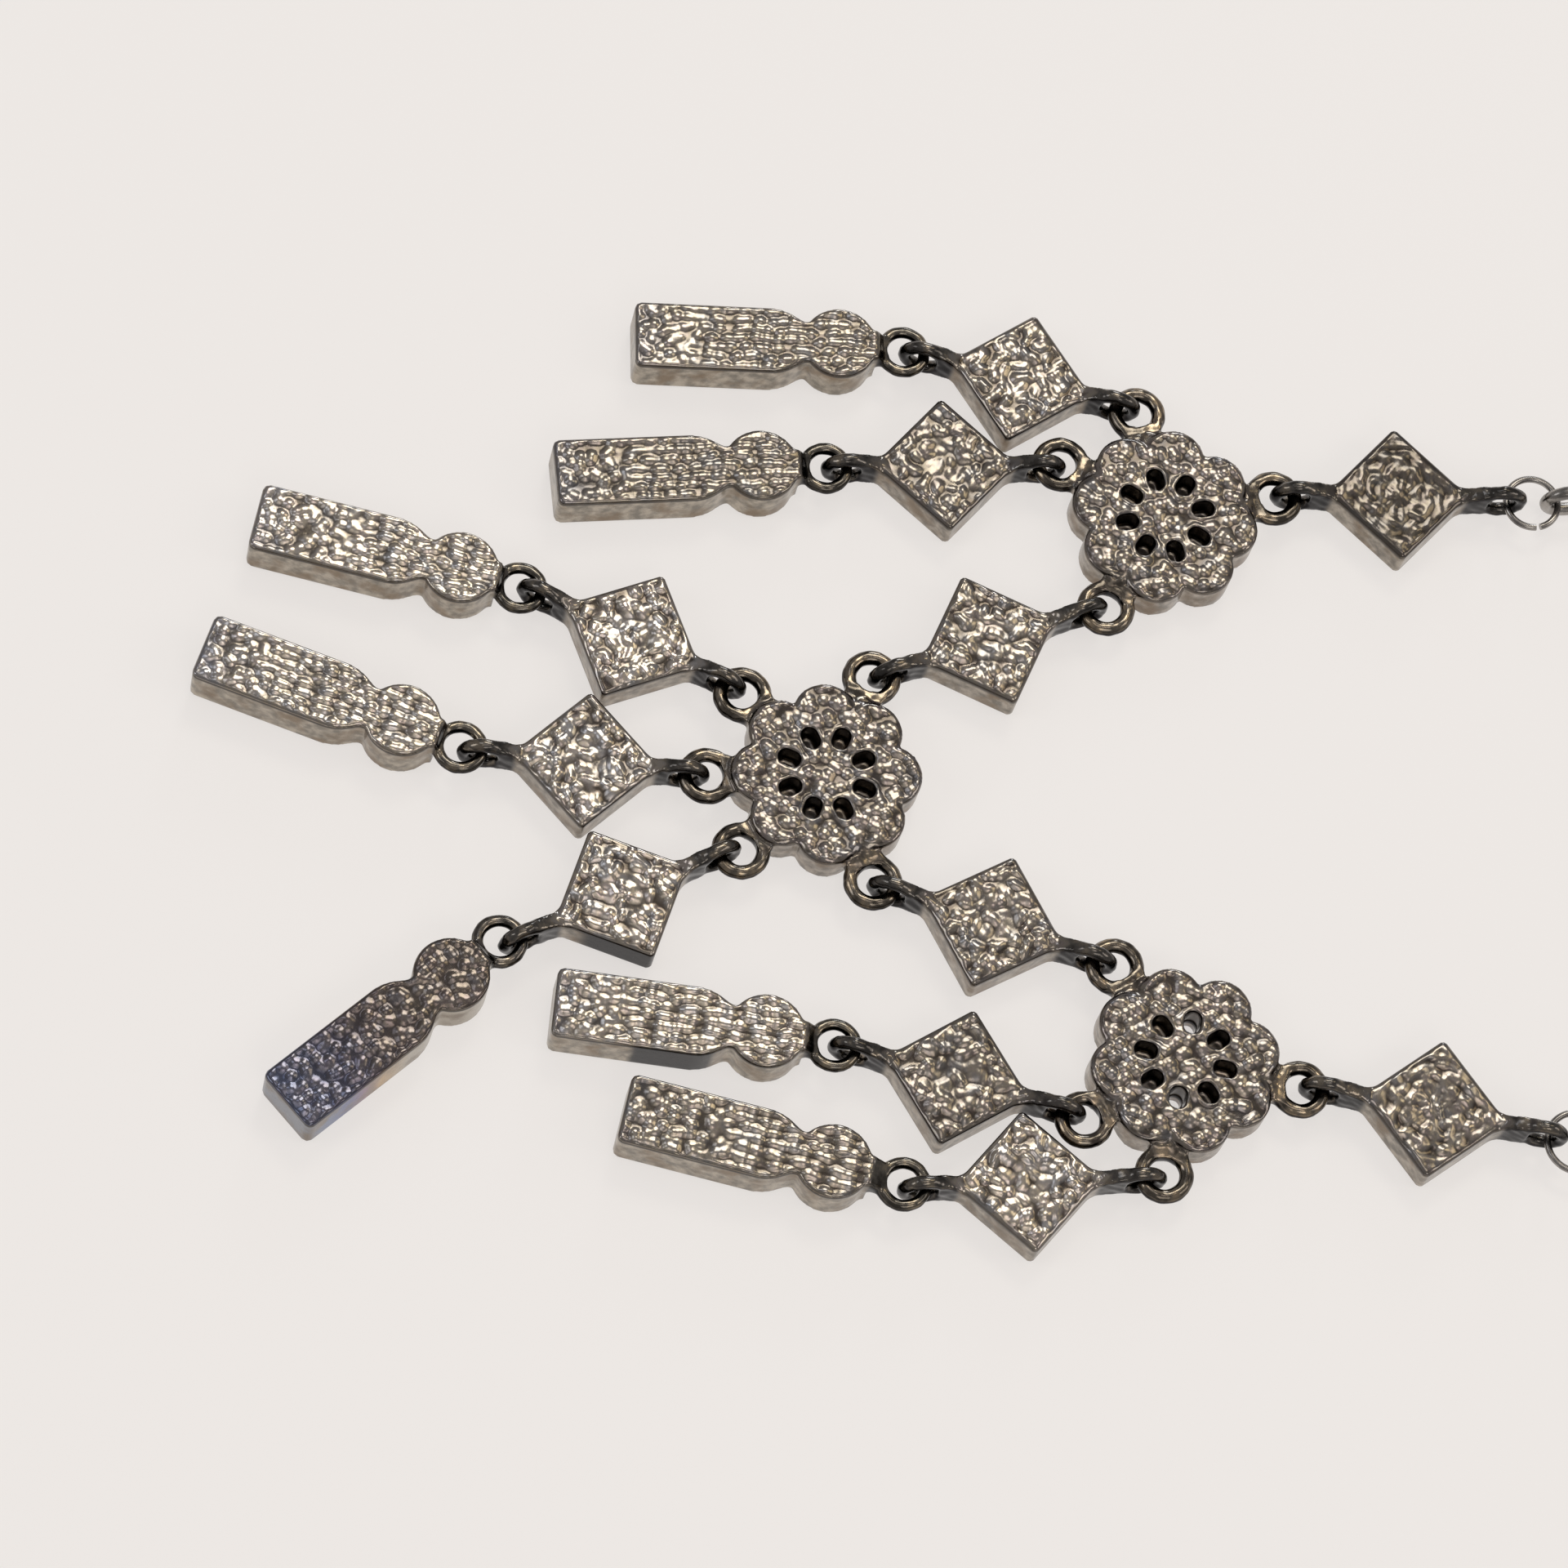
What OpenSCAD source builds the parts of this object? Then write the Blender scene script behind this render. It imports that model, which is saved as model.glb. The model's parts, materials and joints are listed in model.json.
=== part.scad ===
// Chandelier necklace lying face down on a flat surface, seen from its textured backs: three
// pierced flower rosettes, eleven square links, seven bar drops, two jump rings and a link
// chain that closes behind the neck with a plain clasp. Millimetres, Z up, resting on Z = 0.

/* [Square links] */
// Side of a square plate
square_side = 8.5; // [6:0.1:12]
// Height of a square plate
square_h = 3.5; // [2:0.1:5]
// Bevel around the hidden front of a square plate
square_bevel = 0.5; // [0:0.1:1]
// Corner rounding of a square plate
square_round = 0.3; // [0.1:0.1:1]
// Width of the tab that leaves a corner
tab_w = 1.2; // [0.8:0.1:2]
// Centreline diameter of the upright ring at a tab's end
upright_d = 3.3; // [2.8:0.1:4.5]
// Wire of the upright ring
upright_wire = 1.15; // [0.8:0.05:1.5]
// Height of the upright ring's centre above the surface
upright_z = 2.5; // [2:0.1:4]

/* [Drops] */
// Height of a drop
drop_h = 4.2; // [3:0.1:6]
// Centreline diameter of a drop's flat ring
drop_ring_d = 3.6; // [3:0.1:5]
// Wire of a drop's flat ring
drop_ring_wire = 1.0; // [0.7:0.05:1.4]
// Height of the flat ring's centre above the surface
drop_ring_z = 2.8; // [1.5:0.1:4]

/* [Rosettes] */
// Height of a rosette
rosette_h = 3.5; // [2:0.1:5]
// Distance of a petal's centre from the middle
petal_at = 5.25; // [4:0.05:7]
// Radius of a petal
petal_r = 2.65; // [1.5:0.05:3]
// Distance of a pocket from the middle
pocket_at = 3.3; // [2.5:0.1:4]
// Width of a pocket
pocket_w = 1.4; // [1:0.1:2]
// Length of a pocket along the radius
pocket_l = 1.9; // [1.6:0.1:3]
// Depth of a pocket from the back
pocket_depth = 2.2; // [1:0.1:3]
// Distance of a loop's centre from the middle
loop_at = 9.73; // [8:0.01:12]
// Centreline diameter of a loop
loop_d = 3.7; // [3:0.1:5]
// Wire of a loop
loop_wire = 1.2; // [0.8:0.05:1.5]
// Height of a loop's centre above the surface
loop_z = 2.43; // [1:0.01:3]

/* [Chain] */
// Outer length of a chain link
link_l = 7.2; // [5:0.1:12]
// Outer width of a chain link
link_w = 4.4; // [3:0.1:8]
// Wire of a chain link
link_wire = 1.0; // [0.6:0.1:2]
// Distance between the centres of neighbouring links
link_pitch = 4.95; // [3:0.05:8]
// Links in each strand
link_count = 28; // [6:2:40]
// Wire of a jump ring
jump_wire = 0.57; // [0.4:0.01:1]
// Length of the clasp's barrel
clasp_l = 7; // [6:0.5:16]
// Diameter of the clasp's barrel
clasp_d = 4.4; // [3:0.1:6]

/* [Hidden] */
$fn = 40;
// Places the middle of the whole necklace over the origin
shift = [-0.32, -70.01, 0];

// Each rosette: x, y, turn of its pockets, angles of its loops
rosette_top = [-25.1, 32.7, 12, [103.5, 191, 241, 327.5]];
rosette_mid = [-1.1, 3.6, 22.5, [22, 155.5, 223.5, 271, 313]];
rosette_low = [22.9, 32.2, 32, [78, 213, 301, 348]];
// Pockets of the lower rosette that go right through, counted from its turn
through_pockets = [3, 7];

// Each square link: x, y, turn, reach of the ring along the turn, reach of the ring against it
squares = [
  [-37.3, 21.0, 76.5, 8.2, 8.3],
  [-29.1, 14.3, 92.0, 8.1, 8.2],
  [-12.8, -12.1, 64.5, 8.1, 8.2],
  [-1.7, -16.1, 85.5, 8.0, 8.3],
  [9.8, -13.4, 115.0, 8.7, 8.7],
  [24.8, 13.5, 74.5, 8.7, 8.5],
  [33.5, 19.0, 93.5, 9.2, 8.4],
  [-13.4, 17.4, 110.0, 8.6, 8.5],
  [11.4, 16.9, 71.5, 8.5, 8.5],
  [-27.8, 52.7, 90.5, 9.0, 8.6],
  [26.6, 52.6, 79.5, 9.1, 9.0]
];

// Each drop: x and y of its square end, turn towards its ring, reach of its ring
drops = [
  [-39.7, -11.6, 89.5, 22.7],
  [-26.8, -18.4, 94.5, 22.7],
  [-22.1, -43.0, 76.5, 22.3],
  [-10.5, -47.2, 69.5, 22.3],
  [28.4, -40.4, 130.0, 22.4],
  [19.4, -19.0, 83.0, 22.8],
  [28.2, -13.5, 76.0, 23.1]
];

// Half outline of a drop's bar: distance from its square end, half width
bar_edge = [
  [0, 2.4],
  [0.15, 2.78],
  [0.5, 2.92],
  [11.6, 2.92],
  [12.3, 2.82],
  [13.0, 2.55],
  [13.6, 2.2],
  [14.1, 1.88]
];
// Middle and radius of its round shoulder
shoulder_at = 17.2;
shoulder_r = 3.12;
drop_edge = concat(
  bar_edge,
  [for (t = [145:-10:25]) [shoulder_at + shoulder_r * cos(t), shoulder_r * sin(t)]],
  [[20.4, 1.3]]
);

// Each jump ring: square link it hangs on, direction from that link's ring, turn of its opening,
// outer diameter
jump_top = [9, 91, 10, 5.0];
jump_low = [10, 80, 190, 5.6];
// How far a jump ring hangs beyond the middle of the upright ring, and the height of its centre
jump_slack = 0.55;
jump_z = 2.1;
jump_gap = 10;

// Heading of a strand away from the straight way back, outwards positive, from 0 to 1 along it
function heading(u) = 5 + 80 * u - 168 * u * u;
// Share of the ordinary lie of a link; the end links of a strand stand upright or lie level
function ease(i) = min(1, i / 6, (link_count - 1 - i) / 6);
// Roll of a link and height of its centre
function link_roll(i) = 90 - 45 * ease(i) + 90 * i;
function link_z(i) = (link_w - link_wire) / 2 * cos(45 * ease(i)) + link_wire / 2 + 0.05;
function unit(a) = [cos(a), sin(a)];
function upright_at(q) = [q[0], q[1]] + q[3] * unit(q[2]);
function jump_r(j) = (j[3] - jump_wire) / 2;
function jump_at(j) = upright_at(squares[j[0]]) + (jump_r(j) + jump_slack) * unit(j[1]);
// First link's distance from the jump ring's centre, then the centre and the end of a strand
link_in = link_l / 2 - link_wire;
function first_reach(j) = jump_r(j) - jump_wire / 2 - 0.2 + link_in;
function link_dir(side, i) = 90 + side * heading(i / (link_count - 1));
function link_at(j, side, i) = i == 0
  ? jump_at(j) + first_reach(j) * unit(link_dir(side, 0))
  : link_at(j, side, i - 1) + link_pitch * unit((link_dir(side, i - 1) + link_dir(side, i)) / 2);
// Clasp between the last links of the two strands
last_top = link_at(jump_top, 1, link_count - 1);
last_low = link_at(jump_low, -1, link_count - 1);
clasp_mid = (last_top + last_low) / 2;
clasp_turn = atan2(last_low[1] - last_top[1], last_low[0] - last_top[0]);
eye_d = 3.3;
eye_at = norm(last_low - last_top) / 2 - link_in - (eye_d / 2 - upright_wire / 2) + 0.25;

// Stations around a link and sides of its wire in the faceted links
stations = 14;
sides = 5;
function link_path(j) = let(h = j < 7 ? 1 : -1, t = (j < 7 ? -90 : 90) + 30 * (j % 7))
  [h * (link_l - link_w) / 2, 0, 0] + (link_w - link_wire) / 2 * [cos(t), sin(t), 0];
function link_out(j) = let(t = (j < 7 ? -90 : 90) + 30 * (j % 7)) [cos(t), sin(t), 0];
function link_point(j, k) = link_path(j)
  + link_wire / 2 * (cos(360 * k / sides) * link_out(j) + sin(360 * k / sides) * [0, 0, 1]);
function at(j, k) = (j % stations) * sides + k % sides;

metal = [0.5, 0.47, 0.43];

// Round ring of round wire lying level around its centre
module ring(d, wire) {
  rotate_extrude()
    translate([d / 2, 0])
      circle(d = wire);
}

// Outline of a square plate standing on its corner, shrunk by a margin
module square_outline(margin) {
  c = square_side / 2 - margin - square_round;
  polygon([for (k = [0:3]) for (t = [0, 45, 90])
    let(p = c * sqrt(2) * unit(90 * k) + square_round * unit(90 * k - 45 + t)) p]);
}

// Square plate with its bevelled front down
module square_plate() {
  hull() {
    translate([0, 0, square_bevel])
      linear_extrude(height = square_h - square_bevel)
        square_outline(0);
    linear_extrude(height = square_bevel)
      square_outline(square_bevel);
  }
}

// Tab with its upright ring, running along +X from a plate's corner
module upright_tab(reach) {
  difference() {
    union() {
      translate([0, 0, 0.8])
        linear_extrude(height = square_h - 0.8)
          polygon([[4.2, -1.6], [5.0, -1.0], [5.7, -0.68], [6.4, -tab_w / 2], [reach - 1.2, -tab_w / 2],
            [reach - 1.2, tab_w / 2], [6.4, tab_w / 2], [5.7, 0.68], [5.0, 1.0], [4.2, 1.6]]);
      translate([0, tab_w / 2, 0])
        rotate([90, 0, 0])
          linear_extrude(height = tab_w)
            polygon([[5, 1], [reach - 1.2, 1], [reach - 1, 4.2], [reach - 1.6, 4.2], [5.3, square_h],
              [5, square_h]]);
    }
    translate([reach, 0, upright_z])
      rotate([90, 0, 0])
        cylinder(h = 4, d = upright_d - upright_wire + 0.1, center = true);
  }
  translate([reach, 0, upright_z])
    rotate([90, 0, 0])
      ring(upright_d, upright_wire);
}

module square_link(i) {
  q = squares[i];
  color(metal)
    translate([q[0], q[1], 0] + shift)
      rotate([0, 0, q[2]])
        union() {
          square_plate();
          upright_tab(q[3]);
          rotate([0, 0, 180])
            upright_tab(q[4]);
        }
}

// Whole outline of a drop, shrunk by a margin
module drop_outline(margin) {
  n = len(drop_edge);
  polygon(concat(
    [for (p = drop_edge) [max(p[0], margin), p[1] - margin]],
    [for (i = [n - 1:-1:0]) [max(drop_edge[i][0], margin), margin - drop_edge[i][1]]]
  ));
}

module drop(i) {
  q = drops[i];
  color(metal)
    translate([q[0], q[1], 0] + shift)
      rotate([0, 0, q[2]])
        union() {
          translate([0, 0, 0.3])
            linear_extrude(height = drop_h - 0.3)
              drop_outline(0);
          linear_extrude(height = 1)
            drop_outline(0.3);
          difference() {
            translate([0, 1.25, 0])
              rotate([90, 0, 0])
                linear_extrude(height = 2.5)
                  polygon([[19.5, 2.3], [q[3] - 1.2, 2.3], [q[3] - 1.2, 3.25], [q[3] - 1.6, 3.3],
                    [20.5, drop_h - 0.1], [19.5, drop_h - 0.1]]);
            translate([q[3], 0, 0])
              cylinder(h = 6, d = drop_ring_d - drop_ring_wire + 0.1);
          }
          translate([q[3], 0, drop_ring_z])
            ring(drop_ring_d, drop_ring_wire);
        }
}

// Loop of a rosette with its flared neck, along +X
module rosette_loop() {
  difference() {
    intersection() {
      translate([0, 2, 0])
        rotate([90, 0, 0])
          linear_extrude(height = 4)
            polygon([[5, 0.8], [6.6, 0.8], [7.6, 1.85], [loop_at - 1.1, 1.85], [loop_at - 1.1, 3.02],
              [loop_at - 2, 3.02], [6.7, rosette_h - 0.02], [5, rosette_h - 0.02]]);
      linear_extrude(height = 5)
        polygon([[4.8, -2], [6, -1.8], [7, -1.55], [7.8, -1.6], [8.8, -1.95], [8.8, 1.95], [7.8, 1.6],
          [7, 1.55], [6, 1.8], [4.8, 2]]);
    }
    translate([loop_at, 0, 0])
      cylinder(h = 6, d = loop_d - loop_wire + 0.1);
  }
  translate([loop_at, 0, loop_z])
    ring(loop_d, loop_wire);
}

// Eight round petals, their outline shrunk by a margin
module flower_outline(margin) {
  valley = 71.5;
  polygon([for (k = [0:7]) for (t = [-valley:valley / 6:valley * 0.84])
    petal_at * unit(22.5 + 45 * k) + (petal_r - margin) * unit(22.5 + 45 * k + t)]);
}

// Oblong pocket along +X, open at the back
module pocket(depth) {
  for (s = [-1, 1])
    translate([pocket_at + s * (pocket_l - pocket_w) / 2, 0, rosette_h - depth])
      cylinder(h = depth + 1, d = pocket_w);
}

module rosette(q, through) {
  color(metal)
    translate([q[0], q[1], 0] + shift)
      difference() {
        union() {
          rotate([0, 0, q[2]]) {
            translate([0, 0, 0.3])
              linear_extrude(height = rosette_h - 0.3)
                flower_outline(0);
            linear_extrude(height = 1)
              flower_outline(0.3);
          }
          for (a = q[3])
            rotate([0, 0, a])
              rosette_loop();
        }
        for (k = [0:7])
          rotate([0, 0, q[2] + 45 * k])
            pocket(pocket_depth);
        for (k = through)
          rotate([0, 0, q[2] + 45 * k])
            translate([k == 3 ? pocket_at + 0.25 : pocket_at - 0.25, 0, -1])
              cylinder(h = rosette_h, d = 1.2);
      }
}

// Round wire ring whose ends stand a little apart
module jump_ring(j) {
  p = jump_at(j);
  color(metal)
    translate([p[0], p[1], jump_z] + shift)
      rotate([0, 0, j[2] + jump_gap / 2])
        rotate_extrude(angle = 360 - jump_gap)
          translate([jump_r(j), 0])
            circle(d = jump_wire);
}

module chain_link() {
  polyhedron(
    points = [for (j = [0:stations - 1]) for (k = [0:sides - 1]) link_point(j, k)],
    faces = [for (j = [0:stations - 1]) for (k = [0:sides - 1])
      [at(j, k), at(j, k + 1), at(j + 1, k + 1), at(j + 1, k)]]
  );
}

// Strand of interlocking oval links from a jump ring to the clasp
module strand(j, side) {
  color(metal)
    for (i = [0:link_count - 1]) {
      p = link_at(j, side, i);
      translate([p[0], p[1], link_z(i)] + shift)
        rotate([0, 0, link_dir(side, i)])
          rotate([link_roll(i), 0, 0])
            chain_link();
    }
}

// Plain barrel with an upright eye at each end
module clasp() {
  color(metal)
    translate([clasp_mid[0], clasp_mid[1], link_z(0)] + shift)
      rotate([0, 0, clasp_turn])
        union() {
          rotate([0, 90, 0])
            cylinder(h = clasp_l, d = clasp_d, center = true);
          for (s = [-1, 1]) {
            translate([s * eye_at, 0, 0])
              rotate([90, 0, 0])
                ring(eye_d, upright_wire);
            translate([s * (clasp_l / 2 + eye_at - eye_d / 2) / 2, 0, 0])
              cube([eye_at - eye_d / 2 - clasp_l / 2 + 0.8, tab_w - 0.2, 2.2], center = true);
          }
        }
}

rosette(rosette_top, []);
rosette(rosette_mid, []);  // rosette_middle
rosette(rosette_low, through_pockets);
square_link(0);  // square_link_01
square_link(1);  // square_link_02
square_link(2);  // square_link_03
square_link(3);  // square_link_04
square_link(4);  // square_link_05
square_link(5);  // square_link_06
square_link(6);  // square_link_07
square_link(7);  // square_link_08
square_link(8);  // square_link_09
square_link(9);  // square_link_10
square_link(10);  // square_link_11
drop(0);  // drop_1
drop(1);  // drop_2
drop(2);  // drop_3
drop(3);  // drop_4
drop(4);  // drop_5
drop(5);  // drop_6
drop(6);  // drop_7
jump_ring(jump_top);  // jump_ring_top
jump_ring(jump_low);  // jump_ring_low
strand(jump_top, 1);  // chain_top
strand(jump_low, -1);  // chain_low
clasp();
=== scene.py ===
# Chandelier necklace lying face down: cast rosettes, square links and bar drops with a rippled
# back, soldered tabs and rings, and a link chain. Lengths are in metres, small tables in mm.
import json
from math import cos, pi, radians, sin

import bpy
import numpy as np
from mathutils import Matrix, Vector

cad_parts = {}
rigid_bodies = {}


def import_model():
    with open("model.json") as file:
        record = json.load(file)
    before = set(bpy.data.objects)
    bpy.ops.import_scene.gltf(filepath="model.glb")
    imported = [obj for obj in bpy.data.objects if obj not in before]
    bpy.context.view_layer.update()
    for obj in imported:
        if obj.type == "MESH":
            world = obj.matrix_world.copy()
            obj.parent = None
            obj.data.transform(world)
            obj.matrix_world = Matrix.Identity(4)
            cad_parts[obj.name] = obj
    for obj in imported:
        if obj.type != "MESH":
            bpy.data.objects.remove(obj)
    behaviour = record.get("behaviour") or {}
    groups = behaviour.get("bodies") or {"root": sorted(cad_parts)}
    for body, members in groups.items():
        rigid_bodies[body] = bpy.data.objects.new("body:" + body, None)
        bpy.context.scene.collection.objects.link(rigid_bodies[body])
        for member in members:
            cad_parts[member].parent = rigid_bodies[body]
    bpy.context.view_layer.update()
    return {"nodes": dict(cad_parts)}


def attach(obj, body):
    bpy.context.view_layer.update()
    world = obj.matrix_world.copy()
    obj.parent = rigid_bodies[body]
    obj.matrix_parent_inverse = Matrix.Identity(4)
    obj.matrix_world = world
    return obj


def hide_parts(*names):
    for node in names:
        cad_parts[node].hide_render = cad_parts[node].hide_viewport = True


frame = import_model()
MM = 0.001
MM_IN_METRE = 1000


# The necklace lies on a pale table top in a softly lit room. Round ceiling lamps, some warmer and
# some cooler, stand near the mirror direction of the level backs, in front of a wide dim glow, so
# that each ripple of the polished casting throws one of them back to the camera.
TABLE_COLOUR = (0.825, 0.79, 0.765, 1)
TABLE_PAINT = (0.25, 0.243, 0.238, 1)
TABLE_WIDE = 4
TABLE_GLOW = 0.80
ROOM_COLOUR = (0.335, 0.325, 0.32, 1)
AIM = Vector((-0.32, -70.01, 3.5)) * MM
CAMERA_FROM_AIM = Vector((204.2, -74.3, 510.9)) * MM
CAMERA_RIGHT = Vector((0.0235, 0.9906, 0.1347))
CAMERA_DOWN = Vector((0.9296, 0.0279, -0.3675))
FOCAL_TO_FRAME = 8364 / 1920
SENSOR_MM = 36

camera_data = bpy.data.cameras.new("camera")
camera_data.sensor_width = SENSOR_MM
camera_data.lens = SENSOR_MM * FOCAL_TO_FRAME
camera_data.clip_start = 0.01
camera = bpy.data.objects.new("camera", camera_data)
bpy.context.scene.collection.objects.link(camera)
back = CAMERA_RIGHT.cross(-CAMERA_DOWN).normalized()
camera.matrix_world = Matrix.Translation(AIM + CAMERA_FROM_AIM) @ Matrix(
    (CAMERA_RIGHT.normalized(), (-CAMERA_DOWN).normalized(), back)
).transposed().to_4x4()
bpy.context.scene.camera = camera
bpy.context.scene.view_settings.view_transform = "Standard"


def lamp(name, place, size, power, colour):
    """Round lamp that shines at the middle of the necklace's bib."""
    data = bpy.data.lights.new(name, "AREA")
    data.shape = "DISK"
    data.size = size
    data.energy = power
    data.color = colour
    light = bpy.data.objects.new(name, data)
    bpy.context.scene.collection.objects.link(light)
    light.location = place
    light.rotation_euler = (AIM - Vector(place)).to_track_quat("-Z", "Y").to_euler()


lamp("ceiling_back", (-0.66, 0.12, 1.04), 0.36, 1.85, (1.0, 0.955, 0.84))
lamp("ceiling_right", (-0.40, 0.50, 1.05), 0.26, 0.36, (1.0, 0.85, 0.56))
lamp("ceiling_left", (-0.42, -0.30, 1.15), 0.22, 0.22, (0.84, 0.90, 1.0))
lamp("ceiling_front", (-0.02, 0.10, 1.20), 0.24, 0.22, (1.0, 0.87, 0.80))
lamp("ceiling_glow", (-0.72, 0.22, 1.50), 1.30, 0.42, (1.0, 0.93, 0.89))
lamp("window_far", (-1.15, 0.25, 0.42), 0.28, 1.4, (0.88, 0.94, 1.0))
# The room lamps light the other sides of the metal, which would mirror a dark room without them
lamp("room_middle", (0.02, -0.04, 1.45), 0.55, 0.55, (1.0, 0.96, 0.90))
lamp("room_near", (0.85, 0.10, 0.95), 0.55, 1.5, (1.0, 0.95, 0.88))
lamp("room_left", (0.10, -1.05, 0.85), 0.55, 1.5, (0.95, 0.97, 1.0))
lamp("room_right", (0.25, 0.95, 0.85), 0.55, 1.5, (1.0, 0.93, 0.86))

world = bpy.data.worlds.new("room")
bpy.context.scene.world = world
world.use_nodes = True
world.node_tree.nodes["Background"].inputs["Color"].default_value = ROOM_COLOUR
world.node_tree.nodes["Background"].inputs["Strength"].default_value = 1.0

bpy.ops.object.select_all(action="DESELECT")
bpy.ops.mesh.primitive_plane_add(size=TABLE_WIDE, location=(0, 0, 0))
table = bpy.context.object
table.name = "table_top"
paint = bpy.data.materials.new("table_paint")
paint.use_nodes = True
shader = paint.node_tree.nodes["Principled BSDF"]
shader.inputs["Base Color"].default_value = TABLE_PAINT
shader.inputs["Roughness"].default_value = 0.9
shader.inputs["Emission Color"].default_value = TABLE_COLOUR
shader.inputs["Emission Strength"].default_value = TABLE_GLOW
table.data.materials.append(paint)


# The square links are cast in one piece: a plate standing on its corner, with a rippled open
# back, plain polished walls, and at two corners a tab that ends in an upright ring. The ring is
# soldered shut through its neighbour, and its metal has gone dark; the undersides of tabs and
# rings are painted near black as shade.
SHIFT = (-0.32, -70.01)
SKIN_STEP = 0.17
SQUARE_HALF = 4.25
SQUARE_TOP = 3.5
# Least upward part of the normal where a point counts as back, and share of relief in its mask
UPWARD = 0.6
RELIEF_SHOWN = 6.5
# Width and height of the pebbles of a square's back, then width and strength of their wander
SQUARE_PEBBLE = 0.86
SQUARE_PEBBLE_HIGH = 0.12
WANDER_WIDE = 1.8
WANDER = 0.6
# Random pattern: cells before it repeats; pebbles: lowest gap, breadth, difference in size
CELLS = 64
PEBBLE_GAP = 0.15
PEBBLE_BROAD = 0.43
PEBBLE_UNLIKE = 0.25
# Hammer marks along the wires: how far apart, and how high on the squares
WIRE_MARK = 0.8
SQUARE_WIRE_HIGH = 0.07
# Each link: x, y, turn, strength of its ripples, swirl of its ripples, dark of its skin
SQUARE_LINKS = {
    "square_link_01": (-37.3, 21.0, 76.5, 1.0, 0, 0.4),
    "square_link_02": (-29.1, 14.3, 92.0, 0.9, 0, 0.65),
    "square_link_03": (-12.8, -12.1, 64.5, 1.1, 0, 0.0),
    "square_link_04": (-1.7, -16.1, 85.5, 1.1, 0, 0.1),
    "square_link_05": (9.8, -13.4, 115.0, 1.1, 0, 0.1),
    "square_link_06": (24.8, 13.5, 74.5, 0.9, 0, 0.6),
    "square_link_07": (33.5, 19.0, 93.5, 1.0, 0, 0.1),
    "square_link_08": (-13.4, 17.4, 110.0, 1.0, 0, 0.4),
    "square_link_09": (11.4, 16.9, 71.5, 1.0, 0, 0.45),
    "square_link_10": (-27.8, 52.7, 90.5, 0.8, 1, 0.95),
    "square_link_11": (26.6, 52.6, 79.5, 0.9, 1, 0.5),
}


def waves(x, y, cell, seed):
    """Smooth random height from about -0.7 to 0.7, with ripples about one cell apart."""
    turn = np.random.default_rng(seed).uniform(0, 2 * pi, (CELLS, CELLS))
    x = x / cell
    y = y / cell
    i = np.floor(x).astype(int)
    j = np.floor(y).astype(int)
    total = np.zeros_like(x)
    for right in (0, 1):
        for up in (0, 1):
            near = turn[(i + right) % CELLS, (j + up) % CELLS]
            dx = x - i - right
            dy = y - j - up
            share = [1 - abs(d) ** 3 * (abs(d) * (abs(d) * 6 - 15) + 10) for d in (dx, dy)]
            total += share[0] * share[1] * (dx * np.cos(near) + dy * np.sin(near))
    return total


def pebbles(x, y, seed, jitter_x=0.45, jitter_y=0.45):
    """Close round bumps about one unit apart, low in the gaps and about 1 on the crowns."""
    chance = np.random.default_rng(seed).uniform(-1, 1, (3, CELLS, CELLS))
    i = np.floor(x).astype(int)
    j = np.floor(y).astype(int)
    total = np.full_like(x, PEBBLE_GAP)
    for right in (-1, 0, 1):
        for up in (-1, 0, 1):
            aside, above, size = chance[:, (i + right) % CELLS, (j + up) % CELLS]
            dx = x - i - right - 0.5 - jitter_x * aside
            dy = y - j - up - 0.5 - jitter_y * above
            crown = (1 + PEBBLE_UNLIKE * size) * (1 - (dx * dx + dy * dy) / PEBBLE_BROAD)
            total = np.maximum(total, crown)
    return total


def step(low, high, value):
    """Share from 0 to 1 as a value goes from low to high, soft at both ends."""
    t = np.clip((value - low) / (high - low), 0, 1)
    return t * t * (3 - 2 * t)


def on_wall(normals):
    """Share by which points belong to a wall, 0 on the back."""
    return 1 - step(0.3, 0.7, normals[:, 2])


def on_shaded_underside(normals):
    """Share by which points of a wire face downwards, where shade is painted near black."""
    return step(-0.8, -0.15, -normals[:, 2])


def lie(x, y, turn):
    """Place of a casting, from its middle in mm and its turn in degrees."""
    place = Matrix.Translation(Vector((x + SHIFT[0], y + SHIFT[1], 0)) * MM)
    return place @ Matrix.Rotation(radians(turn), 4, "Z")


def cast_skin(node, place, voxel):
    """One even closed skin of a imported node, in the piece's own frame."""
    piece = bpy.data.objects.new(node + "_cast", frame["nodes"][node].data.copy())
    piece.data.materials.clear()
    bpy.context.scene.collection.objects.link(piece)
    piece.data.transform(place.inverted())
    bpy.ops.object.select_all(action="DESELECT")
    piece.select_set(True)
    bpy.context.view_layer.objects.active = piece
    bpy.ops.object.mode_set(mode="EDIT")
    bpy.ops.mesh.select_all(action="SELECT")
    bpy.ops.mesh.remove_doubles(threshold=0.001 * MM)
    bpy.ops.object.mode_set(mode="OBJECT")
    skin = piece.modifiers.new("skin", "REMESH")
    skin.mode = "VOXEL"
    skin.voxel_size = voxel * MM
    bpy.ops.object.modifier_apply(modifier="skin")
    soften = piece.modifiers.new("soften", "SMOOTH")
    soften.factor = 0.5
    soften.iterations = 4
    bpy.ops.object.modifier_apply(modifier="soften")
    bpy.ops.object.shade_smooth()
    return piece


def points_mm(piece):
    """The mesh points of a piece and their normals, the points in mm."""
    count = len(piece.data.vertices)
    points = np.zeros(count * 3)
    piece.data.vertices.foreach_get("co", points)
    normals = np.zeros(count * 3)
    piece.data.vertex_normals.foreach_get("vector", normals)
    return points.reshape(-1, 3) * MM_IN_METRE, normals.reshape(-1, 3)


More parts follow.
